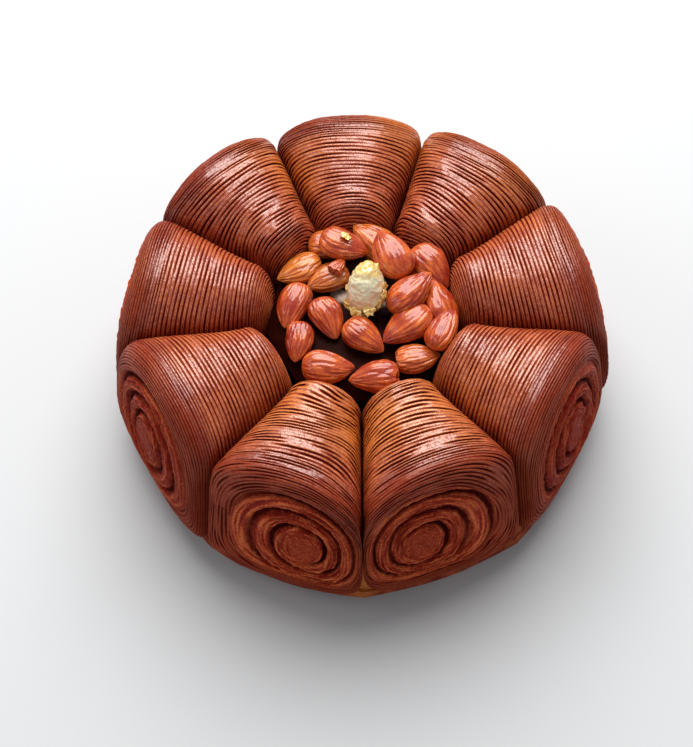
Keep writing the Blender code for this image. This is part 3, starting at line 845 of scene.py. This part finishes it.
def make_almond(node, number):
    centre, axes, length = pose_of(node)
    draw = random.Random(ALMOND_SEED + number)
    shape = bmesh.new()
    bmesh.ops.create_uvsphere(shape, u_segments=ALMOND_COLUMNS, v_segments=ALMOND_ROWS, radius=1)
    almond = new_piece(shape, "glazed_" + node, "almond_skin", skin.material, node)
    ball = read(almond.data)
    turned, around = ball_angles(ball)
    furrow = furrows(turned, around, draw)
    bulge = 1 + BULGE_ROUND * np.sin(2 * around + draw.uniform(0, 6))
    bulge = bulge + BULGE_ALONG * np.sin(3 * turned + draw.uniform(0, 6))
    across = drop_profile(turned) * bulge - FURROW_DEPTH * furrow * 2 / (length * ALMOND_WIDTH)
    along = np.cos(turned)
    if node.startswith("broken"):
        along = np.maximum(along, BROKEN_AT + BREAK_WAVE * np.sin(5 * around))
    if node in BROKEN_BUTTS:
        along = np.maximum(along, BUTT_AT + BREAK_WAVE * np.sin(4 * around + number))
    bow = draw.uniform(-BOW, BOW) * np.sin(turned) ** 2
    local = np.column_stack([along / 2, np.cos(around) * across * ALMOND_WIDTH / 2 + bow,
                             np.sin(around) * across * ALMOND_THICKNESS / 2]) * length
    points = centre + local @ axes.T
    dents = np.minimum(uneven(points, DENT_SIZE), DENT_LIMIT) * DENT
    points += dents[:, None] * (ball * [0, 1, 1]) @ np.roll(axes, 1, axis=1).T
    move(almond.data, points)
    paint(almond.data, "furrow", np.clip(furrow, 0, 1))
    paint(almond.data, "pale", np.full(len(points), PALE_ALMONDS.get(node, 0.0)))
    return almond


almonds = [make_almond(node, number) for number, node in enumerate(almond_nodes)]
print("almonds:", len(almonds), "with", len(almonds[0].data.polygons), "faces each")

# %% [markdown]
# ## The gilded almond
# Gold leaf is so thin that it takes every wrinkle of what it covers, and it tears. The almond under
# it stands nearly upright in the middle. Cloth simulation could crumple a sheet round it, but the
# leaf clings so closely that folded noise on a ball gives the same creases. Loose scraps stand off
# it, and one has landed on an almond: each is a small ball pressed flat and crumpled, so that even
# the thinnest scrap is a closed shape.

# %% Gold leaf
LEAF_DARK = (0.98, 0.64, 0.15, 1)
LEAF_PALE = (1.0, 0.94, 0.62, 1)
LEAF_CREASE = 1.6 * MM
LEAF_RANGE = (0.38, 0.68)
LEAF_RELIEF = 0.35 * MM

gold = Finish("gold_leaf", Metallic=0.15, Coat_Weight=0.8, Coat_Roughness=0.2, Coat_IOR=2.0)
gold_creases = gold.clouds(LEAF_CREASE, 4, roughness=0.6)
gold_share = (gold_creases * 0.8 + gold.attribute("lit") * 0.45).between(*LEAF_RANGE)
gold.surface("Base Color", gold.mix(gold_share, LEAF_DARK, LEAF_PALE))
gold.surface("Roughness", 0.24 + gold_creases * 0.20)
gold.relief(gold_creases, LEAF_RELIEF, 0.6)
print("gold nodes:", len(gold.tree.nodes))

# %% Build the gilded almond
GILDED_WIDTH = 17.0
GILDED_COLUMNS, GILDED_ROWS = 120, 100
DROP_POWER, BALL_POWER = 0.5, 0.48      # the wrapped almond is half a drop and half a ball
CREASES = ((4.5, 1), (2.0, 0.5), (0.9, 0.25))   # size and weight, in millimetres
CRUMPLE = 0.42
LIT_MOST, LIT_FALL = 1.1, 1.2       # the belt of the drop is lit, and its two ends are not


def gilded_pose():
    """The gilded solid's middle, its axes as columns (tip first) and its length, in millimetres."""
    points = corners("gilded_almond")
    middle = points.mean(axis=0)
    spread = points - middle
    _, _, directions = np.linalg.svd(spread, full_matrices=False)
    tip = directions[0] if directions[0][2] > 0 else -directions[0]
    along = spread @ tip
    side = np.cross(tip, [0, 0, 1])
    side /= np.linalg.norm(side)
    length = along.max() - along.min()
    centre = middle + tip * (along.max() + along.min()) / 2
    return centre, np.column_stack([tip, side, np.cross(tip, side)]), length


def folded(point, size):
    """Noise folded at its middle, which makes creases."""
    return 1 - 2 * abs(noise.noise(Vector(point) / size))


def make_gilded():
    centre, axes, length = gilded_pose()
    shape = bmesh.new()
    bmesh.ops.create_uvsphere(shape, u_segments=GILDED_COLUMNS, v_segments=GILDED_ROWS, radius=1)
    gilded = new_piece(shape, "gilded_drop", "gold_leaf", gold.material, "gilded_almond")
    turned, around = ball_angles(read(gilded.data))
    plump = drop_profile(turned) ** DROP_POWER * np.sin(turned) ** BALL_POWER
    local = np.column_stack([np.cos(turned) * length / 2, np.cos(around) * plump * GILDED_WIDTH / 2,
                             np.sin(around) * plump * GILDED_WIDTH / 2])
    crease = np.array([sum(weight * folded(point, size) for size, weight in CREASES) for point in local]) - 1
    outward = local / np.maximum(np.linalg.norm(local, axis=1), 1)[:, None]
    local = local + outward * crease[:, None] * CRUMPLE
    move(gilded.data, centre + local @ axes.T)
    paint(gilded.data, "lit", smooth(LIT_MOST - np.abs(np.cos(turned)) * LIT_FALL))
    return gilded


gilded = make_gilded()

# %% Scraps of leaf
SCRAP_THICKNESS = 0.35
SCRAP_COLUMNS, SCRAP_ROWS = 28, 18
SCRAPS = (                          # place along the drop, way round it, and size, in millimetres
    (-8.5, -2.0, 6.0), (-7.0, -1.2, 5.2), (-9.5, -1.5, 5.0), (-5.0, -0.6, 4.6), (-1.5, -0.3, 4.4),
    (-8.0, -2.7, 5.4), (2.0, -0.2, 4.0), (-10.0, -2.2, 4.6), (8.5, 0.8, 3.8), (-3.0, 2.9, 3.6),
)
SCRAP_TILT = 0.7
SCRAP_STANDOFF = 0.2
TORN, TORN_DETAIL = 0.5, 2.2        # how ragged the edge is
CURL, CURL_SIZE = 0.8, 1.7          # how far and how finely the flake is crumpled
HALF_DROP = 11.5
FLAKE_ON = "almond_18"
FLAKE_HEIGHT, FLAKE_SIZE = 5.8, 4.5
SCRAP_SEED = 77


def scrap(shape, centre, axes, size, draw):
    """One closed flake, crumpled and turned its own way, added to a shape."""
    first = len(shape.verts)
    ball = bmesh.ops.create_uvsphere(shape, u_segments=SCRAP_COLUMNS, v_segments=SCRAP_ROWS, radius=1)
    spin = Matrix.Rotation(draw.uniform(0, math.tau), 3, "X")
    spin = spin @ Matrix.Rotation(draw.uniform(-SCRAP_TILT, SCRAP_TILT), 3, "Y")
    for vertex in ball["verts"]:
        flat = Vector((vertex.co.z * SCRAP_THICKNESS / 2, vertex.co.x * size / 2, vertex.co.y * size / 2))
        edge = 1 + TORN * noise.noise(vertex.co * TORN_DETAIL + Vector((size, 0, 0)))
        flat.y *= edge
        flat.z *= edge
        flat.x += folded(flat + Vector((first, 0, 0)), CURL_SIZE) * CURL
        vertex.co = Vector(centre + axes @ np.array(spin @ flat)) * MM


def make_scraps():
    centre, axes, _ = gilded_pose()
    draw = random.Random(SCRAP_SEED)
    shape = bmesh.new()
    for along, way, size in SCRAPS:
        width = GILDED_WIDTH / 2 * float(drop_profile(math.acos(along / HALF_DROP)))
        outward = np.array([0, math.cos(way), math.sin(way)])
        place = centre + axes @ (np.array([along, 0, 0]) + outward * (width + SCRAP_STANDOFF))
        beside = np.cross([1, 0, 0], outward)
        scrap(shape, place, axes @ np.column_stack([outward, [1, 0, 0], beside]), size, draw)
    flake_centre, flake_axes, _ = pose_of(FLAKE_ON)
    up = flake_axes[:, 2] * np.sign(flake_axes[2, 2])
    turned_axes = np.column_stack([up, flake_axes[:, 0], flake_axes[:, 1]])
    scrap(shape, flake_centre + up * FLAKE_HEIGHT, turned_axes, FLAKE_SIZE, draw)
    return new_piece(shape, "leaf_scraps", "gold_leaf", gold.material)


scraps = make_scraps()
print("scrap faces:", len(scraps.data.polygons))

# %% [markdown]
# ## Praline bed
# Between the almonds shows the bed they sit in: soft praline under a film of syrup, dark and wet.
# Its solid already has the right outline, so a copy of that is divided finely and its top is made
# uneven. Here and there pale spots are painted on the syrup: a painted reflection of the light.

# %% Praline
SYRUP_DARK = (0.022, 0.003, 0.0015, 1)
SYRUP_REFLECTION = (0.62, 0.48, 0.40, 1)
# spots of painted reflection: centre, size and strength, in millimetres
PAINTED_SYRUP_REFLECTIONS = ((-16, 35, 5, 1), (-9, 12, 5, 1), (12.5, -14, 4, 0.9), (13, 8, 4, 0.8))
SYRUP_SWIRL = 5 * MM
SYRUP_RANGE = (0.50, 0.80)
SYRUP_RELIEF = 0.6 * MM

praline = Finish("praline", Specular_IOR_Level=0.02)
swirl = praline.clouds(SYRUP_SWIRL, 4, roughness=0.6)
reflection_share = (swirl * 0.5 + praline.attribute("pale") * 0.6).between(*SYRUP_RANGE)
praline.surface("Base Color", praline.mix(reflection_share, SYRUP_DARK, SYRUP_REFLECTION))
praline.surface("Roughness", 0.2 + swirl * 0.3)
praline.relief(swirl, SYRUP_RELIEF, 0.7)
print("praline nodes:", len(praline.tree.nodes))

# %% Build the bed
BED_TOP = 55                        # above this height the bed is uneven
BED_LIFT, BED_LUMP = 1.2, 7
BED_DETAIL = 2
JOIN_WITHIN = 0.02 * MM


def joined_copy(node):
    """A copy of a solid's loose triangles, with their shared corners joined."""
    shape = bmesh.new()
    shape.from_mesh(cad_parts[node].data)
    bmesh.ops.remove_doubles(shape, verts=shape.verts, dist=JOIN_WITHIN)
    return shape


def make_bed():
    shape = joined_copy("praline_bed")
    bmesh.ops.subdivide_edges(shape, edges=shape.edges, cuts=BED_DETAIL, use_grid_fill=True)
    for vertex in shape.verts:
        if vertex.co.z > BED_TOP * MM:
            vertex.co.z += noise.noise(vertex.co / (BED_LUMP * MM)) * BED_LIFT * MM
    syrup = new_piece(shape, "praline_syrup", "praline", praline.material, "praline_bed")
    paint(syrup.data, "pale", patches(read(syrup.data) / MM, PAINTED_SYRUP_REFLECTIONS))
    return syrup


bed = make_bed()
print("bed faces:", len(bed.data.polygons))

# %% [markdown]
# ## Base sheet
# Under the rolls lies a thin disc of the same dough, with a corner pinched up at the foot of each
# seam. Only its edge and its corners show, so only they are divided finely and wrinkled, and the
# underside stays flat on the floor.

# %% Base crust
FOLD_GOLD = (1.0, 0.31, 0.055, 1)
BASE_FOLD, BASE_BLOTCH = 3 * MM, 9 * MM
BASE_STRETCH = (1, 1, 3)            # the folds lie flat
BASE_RANGE = (0.3, 0.7)
FOLD_RANGE = (0.5, 0.75)
BASE_RELIEF = 0.8 * MM

base_crust = Finish("base_crust", Coat_Weight=0.3, Coat_Roughness=0.3, Specular_IOR_Level=0.1)
base_folds = base_crust.clouds(BASE_FOLD, 4, BASE_STRETCH, 0.6)
base_blotches = base_crust.clouds(BASE_BLOTCH, 2)
base_brown = base_crust.mix(base_blotches.between(*BASE_RANGE), DEEP_COLOUR, CHESTNUT)
base_golden = (base_crust.attribute("golden") * (0.5 + base_folds)).clamped()
base_brown = base_crust.mix(base_golden, base_brown, FOLD_GOLD)
base_crust.surface("Base Color", base_crust.mix(base_folds.between(*FOLD_RANGE), base_brown, DEEP_COLOUR))
base_crust.surface("Roughness", 0.45 + base_folds * 0.2)
base_crust.relief(base_folds, BASE_RELIEF, 0.8)
print("base crust nodes:", len(base_crust.tree.nodes))

# %% Build the base sheet
EDGE_RADIUS = 80                    # outside this radius the sheet shows
BASE_DETAIL = 7
BASE_WRINKLE, WRINKLE_SIZE = 1.0, 5
GOLDEN_FOLDS = ((-1, -101, 6, 1), (-62, -80, 6, 0.4), (64, -78, 6, 0.4))
FLAT_FOOT = 0.5                     # below this height the underside stays flat


def make_base():
    shape = joined_copy("base_sheet")
    outer = [edge for edge in shape.edges if min(v.co.xy.length for v in edge.verts) > EDGE_RADIUS * MM]
    bmesh.ops.subdivide_edges(shape, edges=outer, cuts=BASE_DETAIL, use_grid_fill=True)
    bmesh.ops.triangulate(shape, faces=shape.faces)
    shape.normal_update()
    for vertex in shape.verts:
        if vertex.co.z > FLAT_FOOT * MM:
            fold = folded(vertex.co, WRINKLE_SIZE * MM)
            vertex.co += vertex.normal * (fold - 0.5) * BASE_WRINKLE * MM
    sheet = new_piece(shape, "baked_sheet", "base_crust", base_crust.material, "base_sheet")
    paint(sheet.data, "golden", patches(read(sheet.data) / MM, GOLDEN_FOLDS))
    return sheet


base = make_base()
print("base faces:", len(base.data.polygons))

# %% [markdown]
